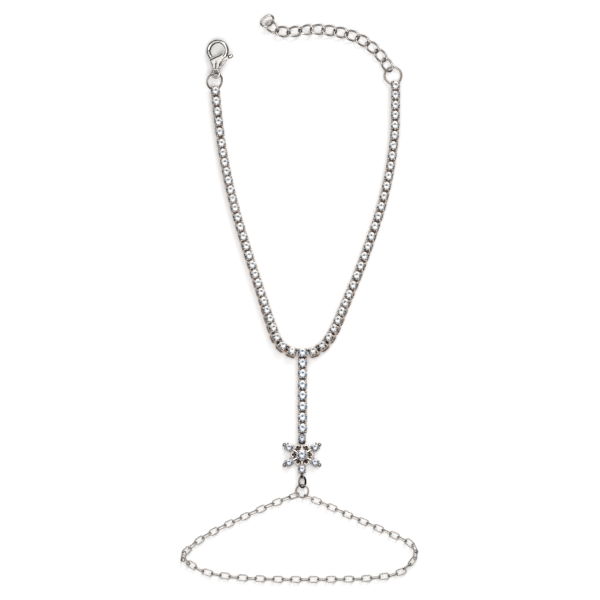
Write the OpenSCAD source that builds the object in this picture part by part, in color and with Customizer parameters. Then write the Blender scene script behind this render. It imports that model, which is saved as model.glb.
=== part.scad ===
// Hand chain bracelet, laid out flat: a wrist chain of round stones in four-claw cups, a drop of the
// same cups from its middle to a snowflake, and a finger loop of fine oval links below the snowflake.
// The wrist chain closes with a lobster clasp on the left and a curb extender chain on the right.
// Millimetres. The origin is the middle of the snowflake's flat back, +Y runs towards the wrist and
// +Z is up from the surface that the jewel lies on.

/* [Stone chain] */
// Diameter of the round stones of the wrist chain and the drop
stone_d = 2.3; // [2.1:0.05:2.35]
// Distance between the stones of the drop
drop_pitch = 2.93; // [2.9:0.01:2.95]
// Height of a stone's girdle above the foot of its cup
girdle_h = 1.72; // [1.6:0.02:1.9]
// Diameter of a claw
claw_d = 0.38; // [0.3:0.02:0.4]

/* [Snowflake] */
// Diameter of the snowflake's middle stone
middle_stone_d = 2.4; // [2.2:0.1:2.6]
// Diameter of the stones at the ends of its six arms
arm_stone_d = 1.86; // [1.7:0.02:1.9]
// Distance from the middle to a side arm's stone
arm_reach = 4.05; // [3.9:0.05:4.2]
// Distance from the middle to the ball at a side arm's tip
ball_reach = 5.5; // [5.3:0.1:5.7]
// Length of a petal from the middle
petal_reach = 3.1; // [2.8:0.1:3.2]

/* [Rings] */
// Wire of the jump rings at the ends of the wrist chain
ring_wire = 0.47; // [0.4:0.01:0.5]
// Outer diameter of the clasp's jump ring
clasp_ring_d = 4.92; // [4.8:0.02:5]
// Outer diameter of the extender's jump ring
extender_ring_d = 5.05; // [4.9:0.05:5.2]
// Wire of the ring under the snowflake
flake_ring_wire = 0.52; // [0.5:0.01:0.55]
// Outer diameter of the ring under the snowflake
flake_ring_d = 3.5; // [3.4:0.05:3.6]
// Wire of the ring that carries the finger loop
loop_ring_wire = 0.4; // [0.35:0.01:0.42]
// Outer diameter of the ring that carries the finger loop
loop_ring_d = 3.8; // [3.7:0.05:3.9]

/* [Finger chain] */
// Wire of the oval links
cable_wire = 0.26; // [0.22:0.01:0.28]
// Outer length of an oval link
cable_len = 3.14; // [3.1:0.02:3.2]
// Outer width of an oval link
cable_wid = 1.9; // [1.8:0.02:2]

/* [Extender] */
// Wire of the curb links
curb_wire = 0.46; // [0.4:0.01:0.48]
// Outer length of a curb link
curb_len = 4.3; // [4.28:0.01:4.34]
// Outer width of a curb link
curb_wid = 3; // [2.9:0.02:3.1]
// Height that each half of a curb link is twisted up and down
curb_twist = 0.45; // [0.4:0.01:0.5]

/* [Clasp] */
// Outer diameter of the hook's round end
hook_d = 6; // [5.8:0.1:6.2]
// Diameter of the round opening in the hook
hook_opening_d = 4.06; // [3.9:0.02:4.2]
// Thickness of the clasp's body
clasp_t = 1.7; // [1.5:0.1:1.8]
// Thickness of the lever's plate between the cheeks
lever_t = 0.46; // [0.4:0.02:0.5]
// Diameter of the hinge pin
pin_d = 0.56; // [0.5:0.02:0.6]

/* [Hidden] */
SMOOTH = 32;
LEFT = -1;
RIGHT = 1;

// Stones on each side of the wrist chain, without the one at the junction, and on the drop
side_count = 29;
drop_count = 7;

// Points where single pieces lie, in the jewel's own frame
junction_at = [0.14, 27.62];
clasp_ring_at = [-23.6, 100.88, 1.3];
extender_ring_at = [24.57, 102.35, 0.7];
eye_at = [-23.27, 102.82, 1.66];
flake_ring_at = [0.1, -7.3, 1.48];
loop_ring_at = [0.05, -9.8, 1.1];
drop_top = [junction_at[0], 24.8];
flake_top_stone = [0, 4.35];
flake_foot_stone = [0, -3.9];

// How the stone chain runs on each side, counted in cups from the junction.
// Columns: cup, direction in degrees
right_way = [[1, 8.5], [2, 33.5], [3, 49.5], [4, 60], [6, 67.5], [8, 66], [12, 69.5], [16, 71.5],
    [20, 78], [24, 84], [26, 89], [29, 90]];
left_way = [[1, 171.5], [2, 149.5], [3, 124.5], [4, 111.5], [7, 108], [12, 108], [16, 106],
    [20, 103], [25, 98], [29, 95]];
// Columns: cup, distance to the cup before it
right_pitch = [[1, 2.94], [3, 2.82], [5, 2.52], [8, 2.52], [9, 2.74], [14, 2.86], [20, 2.8],
    [26, 2.74], [29, 2.64]];
left_pitch = [[1, 2.92], [2, 2.86], [3, 2.78], [5, 2.58], [6, 2.52], [8, 2.52], [9, 2.6], [17, 2.7],
    [18, 2.52], [22, 2.52], [24, 2.66], [25, 3.08], [26, 2.8], [29, 2.78]];
// Columns: cup, lean of the cup towards the inside of the curve in degrees
lean = [[0, 22], [1, 29], [3, 28], [5, 18], [8, 10], [14, 6], [22, 0], [29, 0]];

// The cups are square with round corners: half their size along and across the chain
cup_half_l = 1.1;
cup_half_w = 1.12;
cup_corner_r = 0.4;
cup_bore_r = 0.85;
cup_h = 1.5;
claw_reach = stone_d / 2 + claw_d / 2 + 0.03;
bar_h = 0.5;
bar_w = 0.7;
bar_t = 0.22;
bar_start = 0.9;
bar_pin_d = 0.34;
bar_pin_h = 0.72;
bar_pin_reach = 0.5;
play = 0.12;

// Sum of the steps of a chain up to cup n, each step from its row in the two tables
function step_of(n, way, pitch) =
    lookup(n, pitch) * [cos(lookup(n, way)), sin(lookup(n, way))];
function walk(n, start, way, pitch) =
    n == 0 ? start : walk(n - 1, start, way, pitch) + step_of(n, way, pitch);

function way_of(side) = side == RIGHT ? right_way : left_way;
function pitch_of(side) = side == RIGHT ? right_pitch : left_pitch;

// Direction, lean and place of cup n on one side of the wrist chain
function cup_dir(n, side) =
    let(w = way_of(side)) n == side_count ? lookup(n, w) : (lookup(n, w) + lookup(n + 1, w)) / 2;
function cup_lean(n) = lookup(n, lean);

// A cup's place is kept as [stone's middle, direction, lean about that direction]
function seat(xy, dir, tilt) =
    [[xy[0], xy[1], cup_half_w * abs(sin(tilt)) + girdle_h * cos(tilt)], dir, tilt];
function side_seat(n, side) =
    seat(walk(n, junction_at, way_of(side), pitch_of(side)), cup_dir(n, side), side * cup_lean(n));
function junction_seat() = seat(junction_at, 0, cup_lean(0));
function drop_seat(n) = seat(drop_top - [0, (n - 1) * drop_pitch], -90, 0);

// Point on a cup's axis at height h above its foot
function up_of(s) = [-sin(s[2]) * sin(s[1]), sin(s[2]) * cos(s[1]), cos(s[2])];
function axis_point(s, h) = s[0] - (girdle_h - h) * up_of(s);

module at_seat(s) {
    translate(axis_point(s, 0)) rotate([0, 0, s[1]]) rotate([-s[2], 0, 0]) children();
}

// Places its child with +X along the line from cup a to cup b at the height of the bars and with
// its +Z leaning as the two cups do
module along_bar(a, b) {
    from = axis_point(a, bar_h);
    way = (axis_point(b, bar_h) - from) / span(a, b);
    turn = atan2(way[1], way[0]);
    side = [-sin(turn), cos(turn), 0];
    up = up_of(a) + up_of(b);
    translate(from)
        rotate([0, -asin(way[2]), turn])
            rotate([atan2(-(up * side), up * cross(way, side)), 0, 0])
                children();
}

function span(a, b) = norm(axis_point(b, bar_h) - axis_point(a, bar_h));

// A round brilliant with n facets on its crown: table, girdle and culet, its girdle at height 0
module cut_stone(d, n = 8) {
    table_z = 0.17 * d;
    girdle_z = 0.015 * d;
    turn = 360 / n;
    table = [for (i = [0:n - 1]) [0.3 * d * cos((i + 0.5) * turn), 0.3 * d * sin((i + 0.5) * turn), table_z]];
    upper = [for (i = [0:n - 1]) [d / 2 * cos(i * turn), d / 2 * sin(i * turn), girdle_z]];
    lower = [for (p = upper) [p[0], p[1], -girdle_z]];
    faces = concat(
        [[for (i = [0:n - 1]) n - 1 - i]],
        [for (i = [0:n - 1]) [n + i, i, n + (i + 1) % n]],
        [for (i = [0:n - 1]) [n + i, (i + n - 1) % n, i]],
        [for (i = [0:n - 1]) [2 * n + i, n + i, n + (i + 1) % n, 2 * n + (i + 1) % n]],
        [for (i = [0:n - 1]) [2 * n + i, 2 * n + (i + 1) % n, 3 * n]]
    );
    polyhedron(concat(table, upper, lower, [[0, 0, -0.44 * d]]), faces);
}

// A claw cup without its windows: a square wall with a round bore, a seat for the stone and four claws
module cup_shell() {
    difference() {
        union() {
            for (grow = [0, 1])
                translate([grow * cup_corner_r - cup_half_l, (1 - grow) * cup_corner_r - cup_half_w, 0])
                    cube([2 * (cup_half_l - grow * cup_corner_r),
                        2 * (cup_half_w - (1 - grow) * cup_corner_r), cup_h]);
            for (x = [-1, 1], y = [-1, 1])
                translate([x * (cup_half_l - cup_corner_r), y * (cup_half_w - cup_corner_r), 0])
                    cylinder(r = cup_corner_r, h = cup_h, $fn = SMOOTH);
        }
        translate([0, 0, -1]) cylinder(r = cup_bore_r, h = 3, $fn = SMOOTH);
        translate([0, 0, 1.2]) cylinder(r1 = 0.83, r2 = 1.03, h = 0.32, $fn = SMOOTH);
    }
    for (a = [45:90:315])
        rotate([0, 0, a]) claw(claw_reach, girdle_h, 0.52);
}

// A claw leans outwards from the foot and ends in a round head over the stone's edge
module claw(reach, h, head) {
    translate([reach - 0.2, 0, 0.03])
        rotate([0, atan(0.2 / h), 0])
            cylinder(d = claw_d, h = h + 0.27, $fn = SMOOTH);
    translate([reach - 0.16, 0, h + 0.37]) sphere(d = head, $fn = SMOOTH);
}

// The bar that a cup reaches into the cup before it, with a cross pin that can't slip out
module bar(a, b) {
    along_bar(a, b) {
        translate([bar_start, -bar_w / 2, -bar_t / 2])
            cube([span(a, b) - bar_pin_reach - bar_start, bar_w, bar_t]);
        translate([span(a, b) - bar_pin_reach, 0, -bar_pin_h / 2])
            cylinder(d = bar_pin_d, h = bar_pin_h, $fn = SMOOTH);
    }
}

// The window in cup b for the bar of cup a
module window(a, b) {
    along_bar(a, b)
        translate([span(a, b) - 1.6, -bar_w / 2 - play, -bar_t / 2 - play])
            cube([1, bar_w + 2 * play, bar_t + 2 * play]);
}

module ring(outer_d, wire) {
    rotate_extrude($fn = 2 * SMOOTH) translate([(outer_d - wire) / 2, 0]) circle(d = wire, $fn = SMOOTH);
}

module clasp_ring_place() {
    translate(clasp_ring_at) rotate([12, 26, 0]) children();
}

module extender_ring_place() {
    translate(extender_ring_at) rotate([1, 3, 0]) children();
}

function seat_before(n, side) = n == 1 ? junction_seat() : side_seat(n - 1, side);

module side_cup(n, side) {
    difference() {
        at_seat(side_seat(n, side)) cup_shell();
        if (n < side_count) window(side_seat(n + 1, side), side_seat(n, side));
        if (n == side_count && side == LEFT)
            clasp_ring_place() ring(clasp_ring_d + 2 * play, ring_wire + 2 * play);
        if (n == side_count && side == RIGHT)
            extender_ring_place() ring(extender_ring_d + 2 * play, ring_wire + 2 * play);
    }
    bar(side_seat(n, side), seat_before(n, side));
}

module wrist_settings(side) {
    color("silver")
        for (n = [1:side_count])
            side_cup(n, side);
}

module wrist_stones(side) {
    color("white")
        for (n = [1:side_count])
            at_seat(side_seat(n, side)) translate([0, 0, girdle_h]) cut_stone(stone_d);
}

module junction_setting() {
    color("silver")
        difference() {
            at_seat(junction_seat()) cup_shell();
            window(side_seat(1, LEFT), junction_seat());
            window(side_seat(1, RIGHT), junction_seat());
            window(drop_seat(1), junction_seat());
        }
}

module junction_stone() {
    color("white") at_seat(junction_seat()) translate([0, 0, girdle_h]) cut_stone(stone_d);
}

module drop_settings() {
    color("silver")
        for (n = [1:drop_count]) {
            difference() {
                at_seat(drop_seat(n)) cup_shell();
                window(n < drop_count ? drop_seat(n + 1) : flake_bar_seat(), drop_seat(n));
            }
            bar(drop_seat(n), n == 1 ? junction_seat() : drop_seat(n - 1));
        }
}

module drop_stones() {
    color("white")
        for (n = [1:drop_count])
            at_seat(drop_seat(n)) translate([0, 0, girdle_h]) cut_stone(stone_d);
}

// The snowflake is one casting: a closed foot, six arms, six hollow petals, cups, balls and a loop.
// Four arms point sideways at these angles, one points to the drop and one to the finger loop.
side_arms = [30, 150, 210, 330];
// The cup next to the drop is tipped back by this angle
flake_top_tilt = 30;
arm_cup_r = 1.04;
arm_girdle_h = 1.45;
arm_cup_h = 1.25;
middle_girdle_h = 1.75;

function flake_bar_seat() = seat(flake_top_stone, -90, 0);

// A small cup of the snowflake, closed at the foot, with its own four claws
module arm_cup() {
    difference() {
        cylinder(r1 = 0.92, r2 = arm_cup_r, h = arm_cup_h, $fn = SMOOTH);
        translate([0, 0, 0.4]) cylinder(r = 0.7, h = 2, $fn = SMOOTH);
        translate([0, 0, 1.02]) cylinder(r1 = 0.66, r2 = 0.92, h = 0.26, $fn = SMOOTH);
    }
    for (a = [45:90:315])
        rotate([0, 0, a]) claw(arm_stone_d / 2 + claw_d / 2 + 0.03, arm_girdle_h, 0.44);
}

// Solid that a small cup needs free of arms and bars around its stone
module arm_cup_room() {
    translate([0, 0, 0.4]) cylinder(r = 0.7, h = 3, $fn = SMOOTH);
    translate([0, 0, arm_cup_h - 0.01]) cylinder(r = 1.3, h = 3, $fn = SMOOTH);
}

module top_cup_place() {
    translate([0, flake_top_stone[1] - arm_girdle_h * sin(flake_top_tilt), 0.92 * sin(flake_top_tilt)])
        rotate([-flake_top_tilt, 0, 0])
            children();
}

module arm_place(a) {
    rotate([0, 0, a]) translate([arm_reach, 0, 0]) children();
}

module lens(length, width) {
    r = (length * length / 4 + width * width / 4) / width;
    intersection() {
        translate([0, r - width / 2]) circle(r = r, $fn = 2 * SMOOTH);
        translate([0, width / 2 - r]) circle(r = r, $fn = 2 * SMOOTH);
    }
}

// One petal that points along +X, a lens with a deep recess
module petal() {
    inner = 1.2;
    length = petal_reach - inner;
    translate([(inner + petal_reach) / 2, 0, 0]) {
        difference() {
            linear_extrude(1.1) lens(length, 1.56);
            translate([0, 0, 0.35]) linear_extrude(2) lens(length - 0.7, 0.88);
        }
    }
}

module snowflake() {
    color("silver") {
        difference() {
            union() {
                cylinder(r = 1.5, h = 1.3, $fn = 2 * SMOOTH);
                for (a = [0:60:300])
                    rotate([0, 0, a]) petal();
                for (a = side_arms)
                    rotate([0, 0, a]) {
                        translate([1.2, -0.24, 0]) cube([arm_reach - 2, 0.48, 1.15]);
                        translate([ball_reach, 0, 0.62]) sphere(r = 0.49, $fn = SMOOTH);
                        translate([arm_reach + 0.8, -0.25, 0.2]) cube([0.6, 0.5, 0.7]);
                    }
                translate([-0.26, 1.2, 0]) cube([0.52, 2.1, 1]);
                translate([-0.26, -3.4, 0]) cube([0.52, 2.2, 1]);
            }
            translate([0, 0, 0.4]) cylinder(r = 0.85, h = 2, $fn = SMOOTH);
            translate([0, 0, 0.95]) cylinder(r1 = 0.8, r2 = 1.2, h = 0.36, $fn = SMOOTH);
            for (a = side_arms)
                arm_place(a) arm_cup_room();
            top_cup_place() arm_cup_room();
            translate(flake_foot_stone) arm_cup_room();
        }
        for (a = [45:90:315])
            rotate([0, 0, a]) claw(middle_stone_d / 2 + claw_d / 2 + 0.03, middle_girdle_h, 0.5);
        for (a = side_arms)
            arm_place(a) arm_cup();
        top_cup_place() arm_cup();
        translate(flake_foot_stone) arm_cup();
        translate([0, 5.45, 0.6]) sphere(r = 0.46, $fn = SMOOTH);
        translate([-0.3, 3.9, 0.15]) cube([0.6, 1.4, 0.6]);
        bar(flake_bar_seat(), drop_seat(drop_count));
        translate([0, -4.95, 0.75]) sphere(r = 0.45, $fn = SMOOTH);
        translate([flake_ring_at[0], flake_ring_at[1] + (flake_ring_d - flake_ring_wire) / 2 + 0.07,
            flake_ring_at[2]])
            rotate([0, 120, 0])
                ring(1.56, 0.3);
    }
}

module middle_stone() {
    color("white") translate([0, 0, middle_girdle_h]) cut_stone(middle_stone_d, 16);
}

module upper_stone() {
    color("white") top_cup_place() translate([0, 0, arm_girdle_h]) cut_stone(arm_stone_d, 16);
}

module lower_stone() {
    color("white") translate(flake_foot_stone) translate([0, 0, arm_girdle_h]) cut_stone(arm_stone_d, 16);
}

module side_stone(i) {
    color("white") arm_place(side_arms[i]) translate([0, 0, arm_girdle_h]) cut_stone(arm_stone_d, 16);
}

// Rings of plain wire
module flake_ring() {
    color("silver") translate(flake_ring_at) rotate([0, 54.4, 0]) ring(flake_ring_d, flake_ring_wire);
}

module loop_ring() {
    color("silver") translate(loop_ring_at) rotate([0, -11.3, 0]) ring(loop_ring_d, loop_ring_wire);
}

module clasp_ring() {
    color("silver") clasp_ring_place() ring(clasp_ring_d, ring_wire);
}

module extender_ring() {
    color("silver") extender_ring_place() ring(extender_ring_d, ring_wire);
}

// How the finger chain runs, counted in links from the left side of its ring. It has three runs, and
// the links of the two corners between them are placed one by one.
// Columns: link, direction in degrees
finger_way = [[2, -160], [5, -156], [9, -155], [12, -151], [15, -138], [18, -34], [19, -30], [21, -12],
    [25, -3], [31, 0], [37, 1], [41, 10], [42, 20], [47, 128], [48, 152], [50, 156], [60, 156]];
// Columns: link, distance to the link before it
finger_pitch = [[2, 2.4], [4, 2.4], [14, 2.28], [15, 2.2], [18, 1.8], [19, 2.4], [42, 2.38],
    [47, 2.3], [60, 2.3]];
// Columns: first link of a run, last link, where the first one lies
finger_runs = [[1, 15, [-2.15, -11.05]], [18, 42, [-29.8, -29.7]], [47, 60, [29.05, -23.82]]];
// Columns: corner link, middle x, y and z, direction, turn about its own length in degrees
corner_links = [
    [16, -31.95, -27.45, 0.75, -103, 48],
    [17, -31.35, -28.7, 0.94, -41, 116],
    [43, 28.35, -30.1, 0.94, 37, 79],
    [44, 29.75, -28.75, 0.8, 52, 140],
    [45, 30.6, -27.05, 0.83, 89, 57],
    [46, 30.45, -25.3, 0.84, 117, 121]
];
// Columns: link, height that it is held above the others near the ring
finger_lift = [[1, 0.05], [3, 0], [56, 0], [58, 0.12], [59, 0.27], [60, 0.32]];
finger_count = 60;
finger_half = 30;

function run_walk(n, run) =
    n == run[0] ? run[2] : run_walk(n - 1, run) + step_of(n, finger_way, finger_pitch);
function run_dir(n, run) =
    n == run[1] ? lookup(n, finger_way) : (lookup(n, finger_way) + lookup(n + 1, finger_way)) / 2;
function run_turn(n) =
    n == 1 ? -38 : n == finger_count ? 72 : n > 17 && n < 43 ? 75 * (n % 2)
        : n > 46 ? 70 * ((n + 1) % 2) : 65 * ((n + 1) % 2);
function run_z(n) =
    max(0.7, (cable_wid - cable_wire) / 2 * abs(sin(run_turn(n))) + cable_wire / 2)
        + lookup(n, finger_lift);
function run_link(n, run) =
    let (p = run_walk(n, run)) [n, p[0], p[1], run_z(n), run_dir(n, run), run_turn(n)];

// All links in the columns of the corner table
finger_chain = concat(
    corner_links,
    [for (run = finger_runs, n = [run[0]:run[1]]) run_link(n, run)]
);

// An oval link along +X: two straight wires and two half rings
module cable_link() {
    r = (cable_wid - cable_wire) / 2;
    half = (cable_len - cable_wid) / 2;
    for (s = [-1, 1]) {
        translate([-half, s * r, 0])
            rotate([0, 90, 0])
                cylinder(d = cable_wire, h = 2 * half, $fn = 40);
        translate([s * half, 0, 0])
            rotate([0, 0, -90 * s])
                rotate_extrude(angle = 180, $fn = 48)
                    translate([r, 0])
                        circle(d = cable_wire, $fn = 40);
    }
}

module finger_links(from, to) {
    color("silver")
        for (k = finger_chain)
            if (k[0] >= from && k[0] <= to)
                translate([k[1], k[2], k[3]])
                    rotate([k[5], 0, k[4]])
                        cable_link();
}

// How the extender lies, one row a link up to the last but one.
// Columns: direction, turn about its own length in degrees, height of its middle
curb_rows = [[119, -6, 0.78], [130, 0, 0.7], [141, 0, 0.7], [149, 0, 0.7], [161, 0, 0.7], [168, 0, 0.7],
    [172, 3, 0.74], [178, 12, 0.86], [187, 22, 0.98], [189, 5, 0.78], [172, 0, 0.75], [143, -17, 0.92]];
curb_pitch = 3.16;
curb_start = [22.97, 105.22];
// The last link hangs from the last but one by the middle of its side
end_link_at = [-9.35, 117.06, 0.97];
end_link_turn = [-2, 13, 35];
curb_count = len(curb_rows) + 1;

function flat_way(dir) = [cos(dir), sin(dir)];
function curb_at(i) =
    i == 0 ? curb_start
        : curb_at(i - 1) + curb_pitch / 2 * (flat_way(curb_rows[i - 1][0]) + flat_way(curb_rows[i][0]));

// A curb link is a closed wire that twists up and down between its ends
module curb_link() {
    sides = 16;
    around = 6;
    a = (curb_len - curb_wire) / 2;
    b = (curb_wid - curb_wire) / 2;
    points = [
        for (i = [0:sides - 1])
            let (
                t = i * 360 / sides,
                middle = [a * cos(t), b * sin(t), curb_twist * sin(2 * t)],
                way = [-a * sin(t), b * cos(t), 2 * curb_twist * cos(2 * t)],
                out = cross(way, [0, 0, 1]) / norm(cross(way, [0, 0, 1])),
                up = cross(out, way) / norm(cross(out, way))
            )
            for (k = [0:around - 1])
                middle + curb_wire / 2 * (cos(k * 360 / around) * out + sin(k * 360 / around) * up)
    ];
    faces = [
        for (i = [0:sides - 1], k = [0:around - 1])
            let (j = (i + 1) % sides, m = (k + 1) % around)
            for (f = [[i * around + k, i * around + m, j * around + k],
                [j * around + k, i * around + m, j * around + m]])
                f
    ];
    polyhedron(points, faces);
}

module extender_link(i) {
    color("silver")
        if (i < len(curb_rows))
            translate([curb_at(i)[0], curb_at(i)[1], curb_rows[i][2]])
                rotate([curb_rows[i][1], 0, curb_rows[i][0]])
                    curb_link();
        else
            translate(end_link_at) rotate(end_link_turn) curb_link();
}

// The clasp lies on its left side. Its eye is at the origin of its own plane and its hook at +Y.
hook_mid = [0.53, 6.25];
hook_r = (hook_d + hook_opening_d) / 4;
hook_w = (hook_d - hook_opening_d) / 2;
pivot = [0.19, 3.24];
seam_r = 3.6;
cheek_gap = lever_t + 0.2;

module clasp_place() {
    translate(eye_at) rotate([-1.5, 0, 0]) rotate([0, -16, 0]) children();
}

// Part of the hook's ring between two angles, its section a bar with round edges
module hook_arc(from, to, w, t) {
    translate(hook_mid)
        rotate([0, 0, from])
            rotate_extrude(angle = to - from, $fn = 72)
                translate([hook_r, 0]) {
                    square([w, t - w], center = true);
                    translate([0, (t - w) / 2]) circle(d = w, $fn = SMOOTH);
                    translate([0, (w - t) / 2]) circle(d = w, $fn = SMOOTH);
                }
}

// The lever's gate ends on a curve about the hinge, so that it clears the hook as it swings inwards
module seam_room(r) {
    translate([pivot[0], pivot[1], -2]) cylinder(r = r, h = 4, $fn = 2 * SMOOTH);
}

// The hinge sits between two cheeks. The front one is a drop that narrows to the neck, and the back
// one is wider, so that it shows on both sides of the neck.
front_cheek = [[-1.6, 3.82], [-0.1, 4.6], [1.1, 5.08], [2, 5.62], [2.6, 6.3], [3.3, 5.6], [2.75, 4.75],
    [1.95, 3.85], [1.2, 2.95], [0.98, 2.2], [0.9, 1.45], [-0.6, 1.45], [-0.6, 2.2], [-1.05, 3.2]];
back_cheek = [[-1.45, 3.8], [2.5, 5.95], [3.2, 5.2], [2.85, 3.7], [1.1, 1.45], [-0.75, 1.45], [-1.55, 3.1]];

module clasp_body() {
    color("silver")
        clasp_place() {
            difference() {
                union() {
                    difference() {
                        hook_arc(-38, 192, hook_w, clasp_t);
                        intersection() {
                            seam_room(seam_r + 0.1);
                            translate([-4, 3, -2]) cube([3, 6, 4]);
                        }
                    }
                    translate([0, 0, -clasp_t / 2]) linear_extrude(clasp_t / 2 - 0.2) polygon(back_cheek);
                    translate([0, 0, -0.2]) linear_extrude(clasp_t / 2 + 0.2) polygon(front_cheek);
                    translate([-0.6, 1, -0.35]) cube([1.5, 0.6, 0.7]);
                }
                translate([0.14, 1.1, 0.45]) cube([0.24, 1.55, 1]);
                translate([0, 0, -cheek_gap / 2])
                    linear_extrude(cheek_gap)
                        polygon([[-3, 2.55], [0.2, 2.5], [3.9, 1.8], [3.9, 5.2], [0.7, 4.3], [0.1, 5.6],
                            [-3, 5.6]]);
                translate([pivot[0], pivot[1], -2]) cylinder(d = pin_d + 0.04, h = 4, $fn = SMOOTH);
            }
            ring(2.5, 0.55);
        }
}

module clasp_lever() {
    color("silver")
        clasp_place()
            difference() {
                union() {
                    intersection() {
                        hook_arc(164, 226, hook_w - 0.06, clasp_t - 0.3);
                        seam_room(seam_r);
                    }
                    translate([0, 0, -lever_t / 2])
                        linear_extrude(lever_t) {
                            translate(pivot) circle(d = 1.2, $fn = SMOOTH);
                            polygon([[0.1, 3.82], [-0.95, 4.7], [-1.6, 4.15], [0.1, 2.66]]);
                            polygon([[0.35, 2.68], [4.3, 4.35], [4.05, 5.1], [0.05, 3.8]]);
                        }
                    translate([3.95, 4.68, 0]) sphere(d = 1.06, $fn = SMOOTH);
                    translate([4.4, 4.86, 0]) sphere(d = 0.94, $fn = SMOOTH);
                }
                translate([pivot[0], pivot[1], -2]) cylinder(d = pin_d + 0.1, h = 4, $fn = SMOOTH);
            }
}

module clasp_pin() {
    color("silver")
        clasp_place()
            translate([pivot[0], pivot[1], -clasp_t / 2 + 0.02])
                cylinder(d = pin_d, h = clasp_t - 0.04, $fn = SMOOTH);
}

wrist_settings(LEFT);  // wrist_settings_left
wrist_settings(RIGHT);  // wrist_settings_right
wrist_stones(LEFT);  // wrist_stones_left
wrist_stones(RIGHT);  // wrist_stones_right
junction_setting();
junction_stone();
drop_settings();
drop_stones();
snowflake();
middle_stone();
upper_stone();
lower_stone();
flake_ring();
loop_ring();
finger_links(1, finger_half);  // finger_chain_left
finger_links(finger_half + 1, finger_count);  // finger_chain_right
clasp_ring();
extender_ring();
clasp_body();
clasp_lever();
clasp_pin();
side_stone(0);  // side_stone_1
side_stone(1);  // side_stone_2
side_stone(2);  // side_stone_3
side_stone(3);  // side_stone_4
extender_link(0);  // extender_link_1
extender_link(1);  // extender_link_2
extender_link(2);  // extender_link_3
extender_link(3);  // extender_link_4
extender_link(4);  // extender_link_5
extender_link(5);  // extender_link_6
extender_link(6);  // extender_link_7
extender_link(7);  // extender_link_8
extender_link(8);  // extender_link_9
extender_link(9);  // extender_link_10
extender_link(10);  // extender_link_11
extender_link(11);  // extender_link_12
extender_link(12);  // extender_link_13
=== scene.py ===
import math

import bmesh
import bpy
import numpy as np
from mathutils import Matrix, Vector


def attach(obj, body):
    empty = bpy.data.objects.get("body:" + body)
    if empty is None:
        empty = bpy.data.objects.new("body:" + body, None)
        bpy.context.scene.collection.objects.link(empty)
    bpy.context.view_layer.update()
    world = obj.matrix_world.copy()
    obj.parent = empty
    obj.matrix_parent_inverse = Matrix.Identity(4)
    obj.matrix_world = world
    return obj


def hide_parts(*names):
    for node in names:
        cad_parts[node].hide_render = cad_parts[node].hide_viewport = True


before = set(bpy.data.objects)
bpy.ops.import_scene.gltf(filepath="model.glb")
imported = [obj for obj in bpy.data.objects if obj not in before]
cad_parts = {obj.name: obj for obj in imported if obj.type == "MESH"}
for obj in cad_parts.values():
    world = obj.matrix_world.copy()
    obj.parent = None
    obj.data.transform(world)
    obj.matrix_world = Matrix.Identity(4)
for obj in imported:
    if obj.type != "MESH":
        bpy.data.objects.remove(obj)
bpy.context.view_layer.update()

# The table. The bracelet lies flat on a matt white table and is seen from straight above. A softbox hangs low
# over its middle, a window at the top right throws its soft shadow to the lower left, and the dark walls of
# the room show as dark edges in the bright metal, which painted shade on its sloping faces makes darker
# still.
MM = 0.001
TABLE_REACH = 2.5
VIEW_WIDTH = 162 * MM
VIEW_MIDDLE = (-0.54 * MM, 41.8 * MM)
CAMERA_HEIGHT = 0.6
SOFTBOX_DIAMETER = 135 * MM
SOFTBOX_PLACE = (0, 44 * MM, 200 * MM)
WINDOW_TILT = (math.radians(-57), 0, math.radians(-23))


def put_down(name, data):
    """An object at the origin that holds the data and is part of the scene."""
    made = bpy.data.objects.new(name, data)
    bpy.context.scene.collection.objects.link(made)
    return made


table = bpy.data.meshes.new("table_top")
table.from_pydata([(x * TABLE_REACH, y * TABLE_REACH, 0) for x, y in ((-1, -1), (1, -1), (1, 1), (-1, 1))],
                  [], [(0, 1, 2, 3)])
table_top = put_down("table_top", table)

camera = put_down("camera", bpy.data.cameras.new("camera"))
camera.data.type = "ORTHO"
camera.data.ortho_scale = VIEW_WIDTH
camera.data.clip_start = 0.01
camera.data.clip_end = 5
camera.location = (*VIEW_MIDDLE, CAMERA_HEIGHT)
bpy.context.scene.camera = camera

softbox = put_down("softbox", bpy.data.lights.new("softbox", "AREA"))
softbox.data.shape = "DISK"
softbox.data.size = SOFTBOX_DIAMETER
softbox.data.energy = 0.145
softbox.data.color = (1.0, 0.99, 0.975)
softbox.location = SOFTBOX_PLACE
window = put_down("window", bpy.data.lights.new("window", "SUN"))
window.data.energy = 1.5
window.data.angle = math.radians(28)
window.data.color = (0.955, 0.98, 1.0)
window.rotation_euler = WINDOW_TILT
bpy.context.scene.view_settings.view_transform = "Standard"
bpy.context.scene.view_settings.look = "None"


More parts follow.
